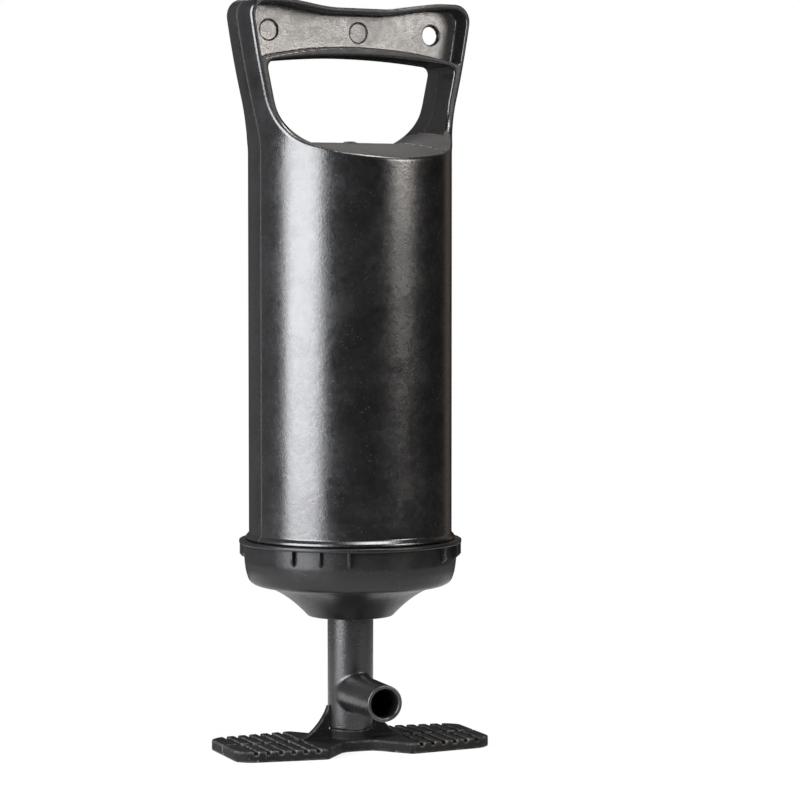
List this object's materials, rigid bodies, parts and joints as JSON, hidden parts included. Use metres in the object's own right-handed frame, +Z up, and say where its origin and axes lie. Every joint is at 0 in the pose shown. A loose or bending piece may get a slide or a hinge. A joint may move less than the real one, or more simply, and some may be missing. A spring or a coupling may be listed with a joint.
{
  "type": "double-action hand air pump",
  "caption": "Upright double-action hand pump: a barrel with a D handle slides and turns on a hollow shaft fixed to a tread foot with a side hose spigot.",
  "frame": {"origin": "on the shaft's axis, at the ground under the foot", "axes": "+Z up along the shaft and barrel, X along the foot's length over both tread plates, -Y the way the hose spigot points"},
  "size_m": [0.1062, 0.0878, 0.2941],
  "materials": {
    "black_plastic": "satin moulded black",
    "grey_plastic": "plain moulded grey",
    "white_plastic": "turned white bearing plastic",
    "black_rubber": "smooth seal rubber",
    "flap_rubber": "thin sheet rubber",
    "screw_steel": "zinc plated"
  },
  "bodies": {
    "base": {"foot_base": "black_plastic", "foot_screw": "screw_steel", "shaft_tube": "black_plastic", "piston_lower": "grey_plastic", "piston_upper": "grey_plastic", "piston_seal": "black_rubber", "piston_screw_1": "screw_steel", "piston_screw_2": "screw_steel", "piston_screw_3": "screw_steel"},
    "exhaust_lower": {"exhaust_flap_lower": "flap_rubber"},
    "exhaust_upper": {"exhaust_flap_upper": "flap_rubber"},
    "gland": {"shaft_seal": "black_rubber"},
    "barrel_body": {"barrel": "black_plastic", "top_valve_button": "black_plastic", "end_cap": "black_plastic", "cap_seal": "black_rubber", "guide_bush": "white_plastic", "seal_retainer": "grey_plastic"},
    "cap_valve": {"cap_intake_flap": "flap_rubber"},
    "top_valve": {"top_intake_flap": "flap_rubber"}
  },
  "joints": [
    {"name": "stroke", "type": "slide", "parent": "base", "child": "gland", "axis": [0, 0, 1], "range_m": [0, 0.126]},
    {"name": "barrel_spin", "type": "hinge", "parent": "gland", "child": "barrel_body", "pos_m": [0, 0, 0.16], "axis": [0, 0, 1], "continuous": true},
    {"name": "exhaust_lower_lift", "type": "slide", "parent": "base", "child": "exhaust_lower", "axis": [0, 0, 1], "range_m": [0, 0.0015]},
    {"name": "exhaust_upper_drop", "type": "slide", "parent": "base", "child": "exhaust_upper", "axis": [0, 0, -1], "range_m": [0, 0.0015], "stiffness_N_per_m": 20, "springref_m": -0.0015},
    {"name": "cap_intake_lift", "type": "slide", "parent": "barrel_body", "child": "cap_valve", "axis": [0, 0, 1], "range_m": [0, 0.0015]},
    {"name": "top_intake_drop", "type": "slide", "parent": "barrel_body", "child": "top_valve", "axis": [0, 0, -1], "range_m": [0, 0.0015], "stiffness_N_per_m": 20, "springref_m": -0.0015}
  ]
}
